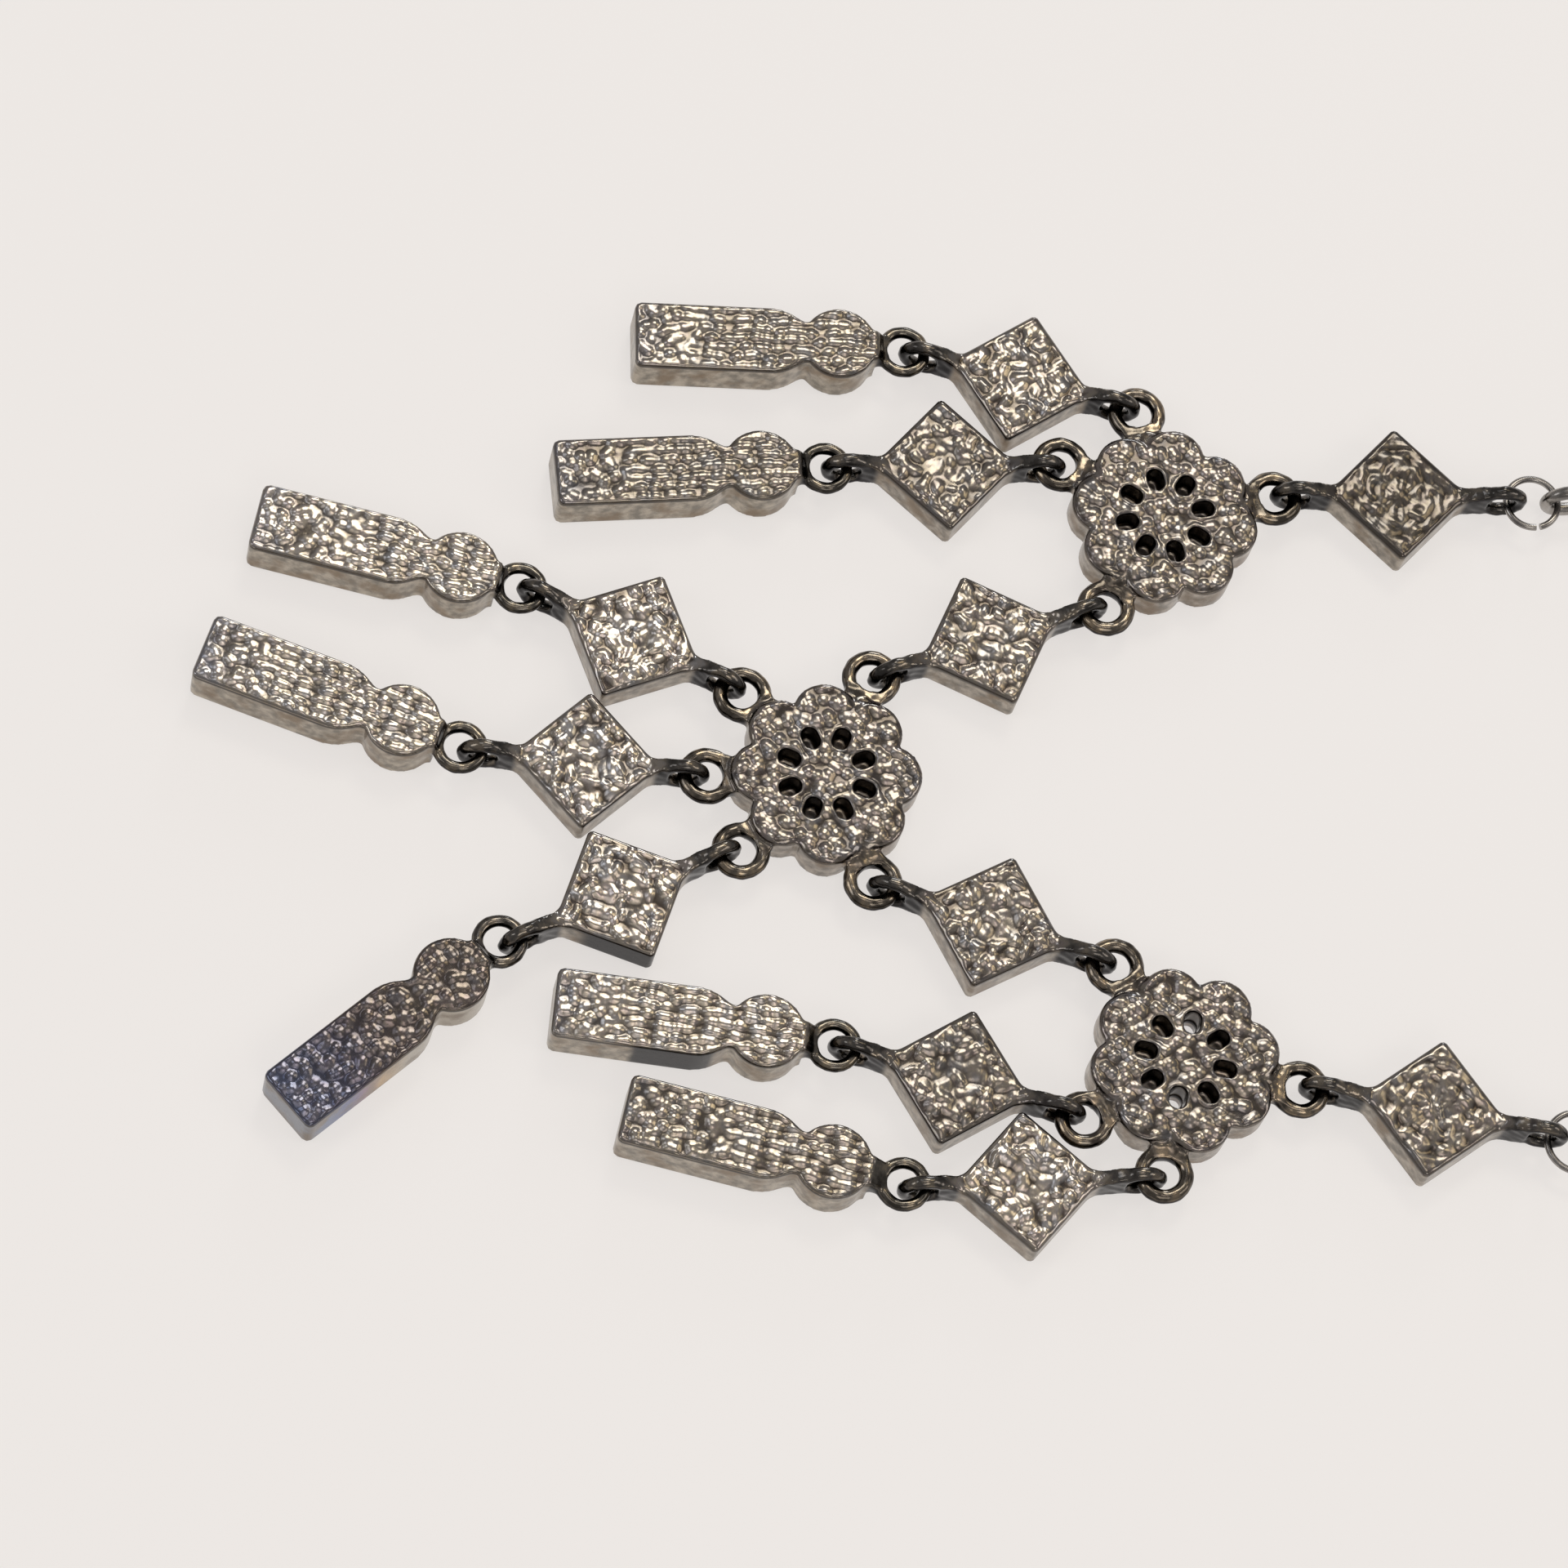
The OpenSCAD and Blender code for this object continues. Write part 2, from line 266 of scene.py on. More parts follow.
def finish_cast(piece, node, place, points, masks, metal):
    """Puts back the moved points, keeps the masks for the metal and sets the piece in its place."""
    piece.data.vertices.foreach_set("co", (points * MM).ravel())
    for name, values in masks.items():
        layer = piece.data.attributes.new(name, "FLOAT", "POINT")
        layer.data.foreach_set("value", np.clip(values, 0, 1))
    piece.data.transform(place)
    piece.data.update()
    piece.data.materials.append(metal)
    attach(piece, "root")
    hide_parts(node)


def new_node(tree, kind, **values):
    """New shader node with its named inputs set or linked."""
    node = tree.nodes.new(kind)
    for name, value in values.items():
        socket = node.inputs[int(name[1:])] if name[1:].isdigit() else node.inputs[name]
        if isinstance(value, bpy.types.NodeSocket):
            tree.links.new(value, socket)
        else:
            socket.default_value = value
    return node


def ramp(tree, value, stops):
    """Colour ramp through (place, colour) stops."""
    node = new_node(tree, "ShaderNodeValToRGB", Fac=value)
    elements = node.color_ramp.elements
    elements.remove(elements[1])
    elements[0].position = stops[0][0]
    elements[0].color = (*stops[0][1], 1)
    for place, colour in stops[1:]:
        elements.new(place).color = (*colour, 1)
    return node.outputs["Color"]


def blend_colour(tree, share, first, second):
    """Colour that goes from the first to the second by a share."""
    node = tree.nodes.new("ShaderNodeMix")
    node.data_type = "RGBA"
    for socket, value in zip((node.inputs[0], node.inputs[6], node.inputs[7]), (share, first, second)):
        if isinstance(value, bpy.types.NodeSocket):
            tree.links.new(value, socket)
        else:
            socket.default_value = value if isinstance(value, float) else (*value, 1)
    return node.outputs[2]


def share_of(tree, value, low, high, least, most):
    """Value carried from the range low to high into the range least to most."""
    node = new_node(tree, "ShaderNodeMapRange", Value=value)
    for name, number in zip(("From Min", "From Max", "To Min", "To Max"), (low, high, least, most)):
        node.inputs[name].default_value = number
    return node.outputs["Result"]


# Colours of the tarnish: place in the cloudy pattern, colour
TARNISH = [(0.34, (0.25, 0.26, 0.31)), (0.44, (0.34, 0.29, 0.27)), (0.52, (0.42, 0.35, 0.25)),
           (0.60, (0.36, 0.27, 0.27)), (0.68, (0.48, 0.43, 0.40))]
BLUE_TARNISH = (0.25, 0.28, 0.38)
# Painted shade: a dark line just below the rim of a casting
RIM_SHADE_COLOUR = (0.05, 0.043, 0.038)
# Near black of the painted shade on wire undersides and in shaded walls and pockets
PAINTED_SHADE_COLOUR = (0.012, 0.011, 0.012)
TO_MM = (MM_IN_METRE, MM_IN_METRE, MM_IN_METRE)


def cast_metal(name, valley, crown, wall, wire, heat_wall=None, heat_back=None):
    """Tarnished polished casting: rippled back, plainer walls, a dark line of painted shade just below
    the rim, and near-black painted shade on wire undersides and in shaded spots.
    The heat colours of a blued piece go along it from its free end."""
    metal = bpy.data.materials.new(name)
    metal.use_nodes = True
    tree = metal.node_tree
    shader = tree.nodes["Principled BSDF"]
    shader.inputs["Metallic"].default_value = 1
    place = tree.nodes.new("ShaderNodeTexCoord").outputs["Object"]
    place = new_node(tree, "ShaderNodeMapping", Vector=place, Scale=TO_MM).outputs[0]
    mask = {}
    for key in ("relief", "wall", "wire", "rim_shade", "painted_shade", "dark", "along", "blue"):
        node = tree.nodes.new("ShaderNodeAttribute")
        node.attribute_name = key
        mask[key] = node.outputs["Fac"]
    patches = new_node(tree, "ShaderNodeTexNoise", Vector=place, Scale=0.75, Detail=2.0).outputs["Fac"]
    tint = ramp(tree, patches, TARNISH)
    colour = ramp(tree, mask["relief"], [(0.2, valley), (0.62, crown)])
    colour = blend_colour(tree, share_of(tree, mask["relief"], 0.2, 0.65, 0.08, 0.42), colour, tint)
    if heat_back:
        colour = blend_colour(tree, 0.6, colour, ramp(tree, mask["along"], heat_back))
    colour = blend_colour(tree, mask["blue"], colour, BLUE_TARNISH)
    darker = share_of(tree, mask["dark"], 0, 1, 0, 0.75)
    colour = blend_colour(tree, darker, colour, tuple(0.45 * c for c in valley))
    stains = new_node(tree, "ShaderNodeTexNoise", Vector=place, Scale=0.45, Detail=4.0).outputs["Fac"]
    stains = share_of(tree, stains, 0.47, 0.66, 0, 0.85)
    rubbed = new_node(tree, "ShaderNodeTexNoise", Vector=place, Scale=1.1, Detail=3.0).outputs["Fac"]
    side = ramp(tree, rubbed, [(0.35, tuple(0.6 * c for c in wall)),
                               (0.65, tuple(1.3 * c for c in wall))])
    if heat_wall:
        side = ramp(tree, mask["along"], heat_wall)
    side = blend_colour(tree, stains, side, tuple(c * s for c, s in zip(wall, (0.60, 0.48, 0.36))))
    colour = blend_colour(tree, mask["wall"], colour, side)
    # Painted shade: the band of wall just below the rim goes dark
    colour = blend_colour(tree, mask["rim_shade"], colour, RIM_SHADE_COLOUR)
    worn = new_node(tree, "ShaderNodeTexNoise", Vector=place, Scale=0.9, Detail=3.0).outputs["Fac"]
    worn = ramp(tree, worn, [(0.36, tuple(0.5 * c for c in wire)), (0.5, wire),
                             (0.64, tuple(c * s for c, s in zip(wire, (1.9, 1.75, 1.5))))])
    colour = blend_colour(tree, mask["wire"], colour, worn)
    # Painted shade: wire undersides and shaded walls and pockets go near black
    colour = blend_colour(tree, mask["painted_shade"], colour, PAINTED_SHADE_COLOUR)
    tree.links.new(colour, shader.inputs["Base Color"])
    cloudy = new_node(tree, "ShaderNodeTexNoise", Vector=place, Scale=1.6, Detail=3.0).outputs["Fac"]
    rough = share_of(tree, cloudy, 0.3, 0.7, 0.14, 0.20)
    rough = new_node(tree, "ShaderNodeMath", _0=rough, _1=share_of(tree, mask["wall"], 0, 1, 0, 0.08))
    tree.links.new(rough.outputs[0], shader.inputs["Roughness"])
    grain = new_node(tree, "ShaderNodeTexNoise", Vector=place, Scale=2.6, Detail=2.0).outputs["Fac"]
    bump = new_node(tree, "ShaderNodeBump", Height=grain, Distance=0.00001, Strength=0.5)
    tree.links.new(bump.outputs["Normal"], shader.inputs["Normal"])
    return metal


square_metal = cast_metal("square_cast_metal", (0.08, 0.067, 0.056), (0.43, 0.40, 0.362),
                          (0.31, 0.275, 0.23), (0.12, 0.111, 0.103))
for count, (node, (x, y, turn, strength, swirl, dark)) in enumerate(SQUARE_LINKS.items()):
    place = lie(x, y, turn + 45)
    piece = cast_skin(node, place, SKIN_STEP)
    points, normals = points_mm(piece)
    p, q, z = points.T
    edge = SQUARE_HALF - np.maximum(abs(p), abs(q))
    top = (z > SQUARE_TOP - 0.12) * (normals[:, 2] > UPWARD)
    on_back = top * step(0.05, 0.45, edge)
    middle = np.hypot(p, q)
    angle = np.arctan2(q, p)
    # The pattern lies askew on the plate; the last number of each call is its own seed
    askew_p = 0.8 * p - 0.6 * q + 20
    askew_q = 0.6 * p + 0.8 * q + 20
    u = askew_p + WANDER * waves(p + 20, q + 20, WANDER_WIDE, 20 + count)
    v = askew_q + WANDER * waves(p + 40, q + 40, WANDER_WIDE, 30 + count)
    bumps = pebbles(u / SQUARE_PEBBLE, v / SQUARE_PEBBLE, 10 + count)
    ripple = SQUARE_PEBBLE_HIGH * (bumps - 0.5)
    ripple += 0.05 * waves(askew_p, askew_q, 1.3, 40 + count)
    if swirl:
        ripple = 0.4 * ripple + 0.13 * waves(middle + 10, 2.2 * angle + 10, 0.65, 70 + count)
    calm = 1 - 0.4 * np.exp(-((middle - 1.3) / 0.7) ** 2)
    ripple = strength * calm * ripple
    dimple = 0.05 * np.exp(-((middle - 1.2) / 0.5) ** 2)
    uneven = 0.11 * waves(p + 20, q + 20, 3.2, 80 + count) - dimple
    rim = 0.015 * np.exp(-((edge - 0.22) / 0.16) ** 2) * top
    height = on_back * (ripple + uneven) + rim * (edge > 0)
    height -= 0.07 * step(0.35, 0.0, edge) * (z > SQUARE_TOP - 0.3) * (edge > -0.1)
    points[:, 2] += height
    on_plate = step(-0.35, 0.0, edge + 0.15)
    wire = 1 - on_plate
    marks = wire * SQUARE_WIRE_HIGH * waves(p + z + 20, q + 20, WIRE_MARK, 90 + count)
    points += marks[:, None] * normals
    # Painted shade: the lower wall of square_link_05 is painted near black
    shaded = (node == "square_link_05") * on_plate * (p < -3.9) * step(2.8, 1.0, q)
    shaded = shaded * step(0.5, 0.2, normals[:, 2])
    masks = {
        "relief": 0.5 + on_back * ripple * RELIEF_SHOWN,
        "wall": on_wall(normals) * on_plate,
        "wire": wire,
        # Painted shade: a dark band just below the rim
        "rim_shade": on_plate * step(0.10, 0.20, SQUARE_TOP - z) * step(-0.62, -0.42, z - SQUARE_TOP)
        * step(-0.5, 0.1, -abs(edge)),
        # Painted shade: the undersides of tabs and rings, and one shaded wall, go near black
        "painted_shade": np.maximum(wire * on_shaded_underside(normals), shaded),
        "dark": np.full_like(p, dark),
    }
    finish_cast(piece, node, place, points, masks, square_metal)


# The bar drops are cast solid: a bar with square corners at the free end, a waist, a round
# shoulder and a flat ring at the top. The back is ribbed along its length in broken rows, and a
# thin polished rim runs round it. drop_5, below the middle rosette, has tarnished blue.
DROP_TOP = 4.2
DROP_RING_AT = 20.4
ROW_WIDTH = 0.84
ROW_PEBBLE_LONG = 0.98
ROW_HIGH = 0.11
LOOSE_HIGH = 0.115
FINE_WIRE_HIGH = 0.06
# Each drop: x and y of its free end, turn towards its ring, how far it is pebbled before the rows
# begin, dark of its skin, blue of its free end
DROPS = {
    "drop_1": (-39.7, -11.6, 89.5, 5, 0.4, 0.2),
    "drop_2": (-26.8, -18.4, 94.5, 6, 0.5, 0.25),
    "drop_3": (-22.1, -43.0, 76.5, 8, 0.0, 0.2),
    "drop_4": (-10.5, -47.2, 69.5, 6, 0.1, 0.3),
    "drop_5": (28.4, -40.4, 130.0, 24, 0.1, 0.0),
    "drop_6": (19.4, -19.0, 83.0, 5, 0.15, 0.2),
    "drop_7": (28.2, -13.5, 76.0, 9, 0.4, 0.1),
}
# Half outline: distance from the free end, half width, then the round shoulder
SHOULDER_AT = 17.2
SHOULDER_R = 3.12
BAR_OUTLINE = ((0, 2.4), (0.15, 2.78), (0.5, 2.92), (11.6, 2.92), (12.3, 2.82), (13.0, 2.55),
               (13.6, 2.2), (14.1, 1.88))
SHOULDER = [(SHOULDER_AT + SHOULDER_R * cos(radians(t)), SHOULDER_R * sin(radians(t)))
            for t in range(145, 20, -10)]
DROP_OUTLINE = (*BAR_OUTLINE, *SHOULDER, (DROP_RING_AT, 1.3))

# Colours along the blued drop: share of its length, colour
BLUED_WALL = [(0.0, (0.22, 0.23, 0.26)), (0.12, (0.14, 0.18, 0.31)), (0.22, (0.11, 0.12, 0.26)),
              (0.3, (0.24, 0.13, 0.20)), (0.38, (0.47, 0.31, 0.14)), (0.52, (0.38, 0.34, 0.28))]
BLUED_BACK = [(0.0, (0.10, 0.125, 0.21)), (0.3, (0.07, 0.075, 0.12)), (0.45, (0.085, 0.072, 0.073)),
              (0.7, (0.11, 0.094, 0.082))]

drop_metal = cast_metal("drop_cast_metal", (0.08, 0.067, 0.055), (0.43, 0.397, 0.35),
                        (0.33, 0.29, 0.235), (0.14, 0.127, 0.11))
blue_metal = cast_metal("drop_cast_metal_blued", (0.04, 0.034, 0.036), (0.15, 0.135, 0.135),
                        (0.30, 0.28, 0.26), (0.14, 0.127, 0.115), BLUED_WALL, BLUED_BACK)
for count, (node, (x, y, turn, pebbled, dark, blue)) in enumerate(DROPS.items()):
    place = lie(x, y, turn)
    piece = cast_skin(node, place, SKIN_STEP)
    points, normals = points_mm(piece)
    a, b, z = points.T
    half = np.interp(a, *np.array(DROP_OUTLINE).T)
    edge = np.minimum(half - abs(b), a)
    on_body = step(0.2, -0.2, a - DROP_RING_AT) * step(-0.6, -0.1, edge)
    top = (z > DROP_TOP - 0.14) * (normals[:, 2] > UPWARD)
    on_back = top * step(0.08, 0.42, edge) * on_body
    lane = b / ROW_WIDTH + 0.45 * waves(a + 10, b + 10, 3.0, 100 + count)
    rows = ROW_HIGH * (pebbles(a / ROW_PEBBLE_LONG + 10, lane + 10.5, 120 + count, 0.45, 0.12) - 0.5)
    rows += 0.01 * np.cos(2 * pi * lane)
    loose = LOOSE_HIGH * (pebbles(a / 0.9 + 30, b / ROW_WIDTH + 30.5, 160 + count) - 0.5)
    free_end = step(pebbled + 2.5, pebbled - 2.5, a + 3 * waves(a + 5, b + 5, 3, 200 + count))
    ripple = (1 - free_end) * rows + free_end * loose
    uneven = 0.05 * waves(a + 10, b + 10, 2.4, 140 + count)
    rim = 0.04 * np.exp(-((edge - 0.2) / 0.13) ** 2) * top * on_body
    points[:, 2] += on_back * (ripple + uneven) + rim
    marks = (1 - on_body) * FINE_WIRE_HIGH * waves(a + z + 20, b + 20, WIRE_MARK, 190 + count)
    points += marks[:, None] * normals
    # Painted shade: the wall of drop_6 beside drop_7 is painted near black
    shaded = (node == "drop_6") * (b < -1.4) * step(6.3, 7.0, a) * step(13.6, 12.8, a)
    shaded = shaded * step(0.5, 0.2, normals[:, 2])
    masks = {
        "relief": 0.5 + on_back * ripple * RELIEF_SHOWN,
        "wall": on_wall(normals) * on_body,
        "wire": 1 - on_body,
        # Painted shade: a dark band just below the rim
        "rim_shade": on_body * step(0.12, 0.22, DROP_TOP - z) * step(-0.55, -0.38, z - DROP_TOP)
        * step(-0.5, 0.1, -abs(edge)),
        # Painted shade: the undersides of the neck and ring, and one shaded wall, go near black
        "painted_shade": np.maximum((1 - on_body) * on_shaded_underside(normals), shaded),
        "dark": np.full_like(a, dark),
        "along": a / 20,
        "blue": blue * step(3.4, 0.3, a + 2 * waves(a + 5, b + 5, 2.5, 210 + count)),
    }
    finish_cast(piece, node, place, points, masks, blue_metal if node == "drop_5" else drop_metal)


# The rosettes are cast flowers of eight round petals with eight oblong pockets round a plain
# disc. The pockets show as dark wells, with painted shade on their walls, and a thin polished
# lip, two of them worn right through on the lower rosette, and short necks carry the flat loops
# that the square links hang on.
ROSETTE_TOP = 3.5
ROSETTE_STEP = 0.15
PETAL_AT = 5.25
PETAL_R = 2.65
POCKET_AT = 3.3
POCKET_HALF = 0.7
POCKET_REACH = 0.25
DISC_R = 4.6
ROSETTE_PEBBLE = 0.9
ROSETTE_PEBBLE_HIGH = 0.115
ROSETTE_DARK = 0.45
# Each rosette: x, y, turn of its pockets
ROSETTES = {
    "rosette_top": (-25.1, 32.7, 12.0),
    "rosette_middle": (-1.1, 3.6, 22.5),
    "rosette_low": (22.9, 32.2, 32.0),
}

rosette_metal = cast_metal("rosette_cast_metal", (0.057, 0.048, 0.042), (0.37, 0.343, 0.315),
                           (0.31, 0.275, 0.235), (0.17, 0.147, 0.122))
for count, (node, (x, y, turn)) in enumerate(ROSETTES.items()):
    place = lie(x, y, turn)
    piece = cast_skin(node, place, ROSETTE_STEP)
    points, normals = points_mm(piece)
    p, q, z = points.T
    radius = np.hypot(p, q)
    edge = DISC_R - radius
    pocket = np.full_like(p, 9.0)
    for k in range(8):
        petal = radians(22.5 + 45 * k)
        from_petal = np.hypot(p - PETAL_AT * cos(petal), q - PETAL_AT * sin(petal))
        edge = np.maximum(edge, PETAL_R - from_petal)
        along = p * cos(pi / 4 * k) + q * sin(pi / 4 * k)
        across = q * cos(pi / 4 * k) - p * sin(pi / 4 * k)
        from_line = np.hypot(np.maximum(abs(along - POCKET_AT) - POCKET_REACH, 0), across)
        pocket = np.minimum(pocket, from_line - POCKET_HALF)
    on_flower = step(-0.45, -0.05, edge)
    top = (z > ROSETTE_TOP - 0.14) * (normals[:, 2] > UPWARD)
    on_neck = (z > 2.6) * (normals[:, 2] > UPWARD) * step(8.3, 7.6, radius) * step(6.2, 7.0, radius)
    on_back = top * step(0.05, 0.35, edge) * step(0.12, 0.35, pocket) + 0.7 * on_neck * (edge < 0.05)
    bumps = pebbles(p / ROSETTE_PEBBLE + 20, q / ROSETTE_PEBBLE + 20, 300 + count)
    ripple = ROSETTE_PEBBLE_HIGH * (bumps - 0.5)
    uneven = 0.12 * waves(p + 20, q + 20, 2.6, 320 + count)
    lip = 0.05 * np.exp(-((pocket - 0.12) / 0.1) ** 2)
    rim = 0.02 * np.exp(-((edge - 0.2) / 0.15) ** 2)
    height = on_back * (ripple + uneven) + top * (lip + rim) * on_flower
    height -= 0.12 * step(0.45, 0.0, edge) * (z > ROSETTE_TOP - 0.3) * on_flower
    points[:, 2] += height
    marks = (1 - on_flower) * FINE_WIRE_HIGH * waves(p + z + 20, q + 20, WIRE_MARK, 340 + count)
    points += marks[:, None] * normals
    # Painted shade: the walls inside the pockets are painted dark as wells
    in_pocket = step(0.1, -0.1, pocket) * (z > 0.9) * (z < ROSETTE_TOP - 0.1)
    masks = {
        "relief": 0.5 + on_back * ripple * RELIEF_SHOWN,
        "wall": on_wall(normals) * on_flower * (pocket > 0.05),
        # In the pockets this mask paints their walls darker as shade
        "wire": np.maximum(1 - on_flower, 0.6 * in_pocket),
        # Painted shade: a dark band just below the rim, kept away from the pockets
        "rim_shade": 0.7 * on_flower * step(0.18, 0.26, ROSETTE_TOP - z) * step(-0.5, -0.4, z - ROSETTE_TOP)
        * (pocket > 0.3),
        # Painted shade: the undersides of necks and loops, and the pocket walls, go near black
        "painted_shade": np.maximum((1 - on_flower) * on_shaded_underside(normals),
                            in_pocket * step(0.7, 0.3, normals[:, 2])),
        "dark": np.full_like(p, ROSETTE_DARK),
    }
    finish_cast(piece, node, place, points, masks, rosette_metal)


# The jump rings are thin drawn wire bent round, their two ends not quite closed, and hold the
# last square link of each side to its strand of the chain.
JUMP_Z = 2.1
JUMP_WIRE = 0.57
JUMP_GAP = 10
JUMP_SLACK = 0.55
# Each ring: square link it hangs on, reach of that link's tab, direction, turn of its opening, width
JUMP_RINGS = {
    "jump_ring_top": ("square_link_10", 9.0, 91, 10, 5.0),
    "jump_ring_low": ("square_link_11", 9.1, 80, 190, 5.6),
}


def plain_wire(name, dark, light, patch):
    """Drawn wire with a dull grey skin, rubbed lighter in places."""
    metal = bpy.data.materials.new(name)
    metal.use_nodes = True
    tree = metal.node_tree
    shader = tree.nodes["Principled BSDF"]
    shader.inputs["Metallic"].default_value = 1
    place = tree.nodes.new("ShaderNodeTexCoord").outputs["Object"]
    place = new_node(tree, "ShaderNodeMapping", Vector=place, Scale=TO_MM).outputs[0]
    cloudy = new_node(tree, "ShaderNodeTexNoise", Vector=place, Scale=patch, Detail=3.0).outputs["Fac"]
    tree.links.new(ramp(tree, cloudy, [(0.35, dark), (0.65, light)]), shader.inputs["Base Color"])
    tree.links.new(share_of(tree, cloudy, 0.3, 0.7, 0.32, 0.18), shader.inputs["Roughness"])
    scratches = new_node(tree, "ShaderNodeTexNoise", Vector=place, Scale=4.0, Detail=2.0).outputs["Fac"]
    bump = new_node(tree, "ShaderNodeBump", Height=scratches, Distance=0.00001, Strength=0.5)
    tree.links.new(bump.outputs["Normal"], shader.inputs["Normal"])
    return metal


def polar(radius, degrees):
    """Flat vector of that length and direction."""
    return Vector((radius * cos(radians(degrees)), radius * sin(radians(degrees)), 0))


def jump_middle(ring):
    """Middle of a jump ring in mm, in the necklace's own place."""
    link, reach, direction, opening, width = JUMP_RINGS[ring]
    x, y, turn = SQUARE_LINKS[link][:3]
    middle = Vector((x + SHIFT[0], y + SHIFT[1], JUMP_Z)) + polar(reach, turn)
    return middle + polar((width - JUMP_WIRE) / 2 + JUMP_SLACK, direction)


def apply_place(piece):
    """Puts a piece's place into its mesh."""
    bpy.ops.object.select_all(action="DESELECT")
    piece.select_set(True)
    bpy.context.view_layer.objects.active = piece
    bpy.ops.object.transform_apply(location=True, rotation=True, scale=True)


jump_metal = plain_wire("jump_ring_wire", (0.16, 0.15, 0.145), (0.36, 0.34, 0.32), 0.8)
for ring, (link, reach, direction, opening, width) in JUMP_RINGS.items():
    bpy.ops.object.select_all(action="DESELECT")
    bpy.ops.mesh.primitive_torus_add(
        major_radius=(width - JUMP_WIRE) / 2 * MM, minor_radius=JUMP_WIRE / 2 * MM,
        major_segments=144, minor_segments=20, location=jump_middle(ring) * MM,
        rotation=(0, 0, radians(opening)))
    piece = bpy.context.object
    piece.name = ring + "_wire"
    bpy.ops.object.mode_set(mode="EDIT")
    bpy.ops.mesh.select_all(action="DESELECT")
    bpy.ops.object.mode_set(mode="OBJECT")
    for face in piece.data.polygons:
        face.select = abs(np.degrees(np.arctan2(face.center.y, face.center.x))) < JUMP_GAP / 2
    bpy.ops.object.mode_set(mode="EDIT")
    bpy.ops.mesh.delete(type="FACE")
    bpy.ops.mesh.select_all(action="DESELECT")
    bpy.ops.mesh.select_non_manifold()
    bpy.ops.mesh.edge_face_add()
    bpy.ops.mesh.select_all(action="SELECT")
    bpy.ops.mesh.normals_make_consistent(inside=False)
    bpy.ops.object.mode_set(mode="OBJECT")
    bpy.ops.object.shade_smooth_by_angle(angle=radians(50))
    apply_place(piece)
    piece.data.materials.append(jump_metal)
    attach(piece, "root")
    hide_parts(ring)


# Each side of the chain is a strand of oval links of round wire, bent shut and soldered, that go
# through each other a quarter turn apart. A strand is one body here, its links joined where they
# touch.
LINK_COUNT = 28
LINK_LONG = 7.2
LINK_WIDE = 4.4
LINK_WIRE = 1.0
LINK_SKIN_WIRE = 1.17
LINK_PITCH = 4.95
LINK_IN = LINK_LONG / 2 - LINK_WIRE
CHAIN_STEP = 0.2
LINK_SLACK = 0.2
LINK_TILT = 45
# Links at each end of a strand over which it settles into its ordinary lie
EASE_LINKS = 6
# Heading of a strand in degrees: at its first link, how it opens out, how it turns in again
STRAND_BEND = (5, 80, 168)
# Each strand: jump ring that it starts from, side that it bends to
STRANDS = {"chain_top": ("jump_ring_top", 1), "chain_low": ("jump_ring_low", -1)}


def strand_heading(side, i):
    """Direction of a link, in degrees."""
    u = i / (LINK_COUNT - 1)
    first, out, in_again = STRAND_BEND
    return 90 + side * (first + out * u - in_again * u * u)


def strand_middles(ring, side):
    """Middle of each link of a strand in mm, without its height."""
    start = (JUMP_RINGS[ring][4] - JUMP_WIRE) / 2 - JUMP_WIRE / 2 - LINK_SLACK + LINK_IN
    middles = [jump_middle(ring) + polar(start, strand_heading(side, 0))]
    for i in range(1, LINK_COUNT):
        between = (strand_heading(side, i - 1) + strand_heading(side, i)) / 2
        middles.append(middles[-1] + polar(LINK_PITCH, between))
    return middles


def link_ease(i):
    """Share of the ordinary lie of a link, less at the two ends of a strand."""
    return min(1, i / EASE_LINKS, (LINK_COUNT - 1 - i) / EASE_LINKS)


def link_height(i):
    """Height of a link's middle in mm."""
    standing = (LINK_WIDE - LINK_WIRE) / 2 * cos(radians(LINK_TILT * link_ease(i)))
    return standing + LINK_WIRE / 2 + 0.05


chain_metal = plain_wire("chain_wire", (0.17, 0.16, 0.15), (0.38, 0.355, 0.33), 0.5)
bpy.ops.object.select_all(action="DESELECT")
bpy.ops.mesh.primitive_torus_add(
    major_radius=(LINK_WIDE - LINK_WIRE) / 2 * MM, minor_radius=LINK_SKIN_WIRE / 2 * MM,
    major_segments=34, minor_segments=14, rotation=(0, 0, pi / 34))
pattern_link = bpy.context.object
apply_place(pattern_link)
for half in (-1, 1):
    bpy.ops.object.mode_set(mode="EDIT")
    bpy.ops.mesh.select_all(action="DESELECT")
    bpy.ops.object.mode_set(mode="OBJECT")
    for corner in pattern_link.data.vertices:
        corner.select = corner.co.x * half > 0
    bpy.ops.object.mode_set(mode="EDIT")
    bpy.ops.transform.translate(value=(half * (LINK_LONG - LINK_WIDE) / 2 * MM, 0, 0))
    bpy.ops.object.mode_set(mode="OBJECT")
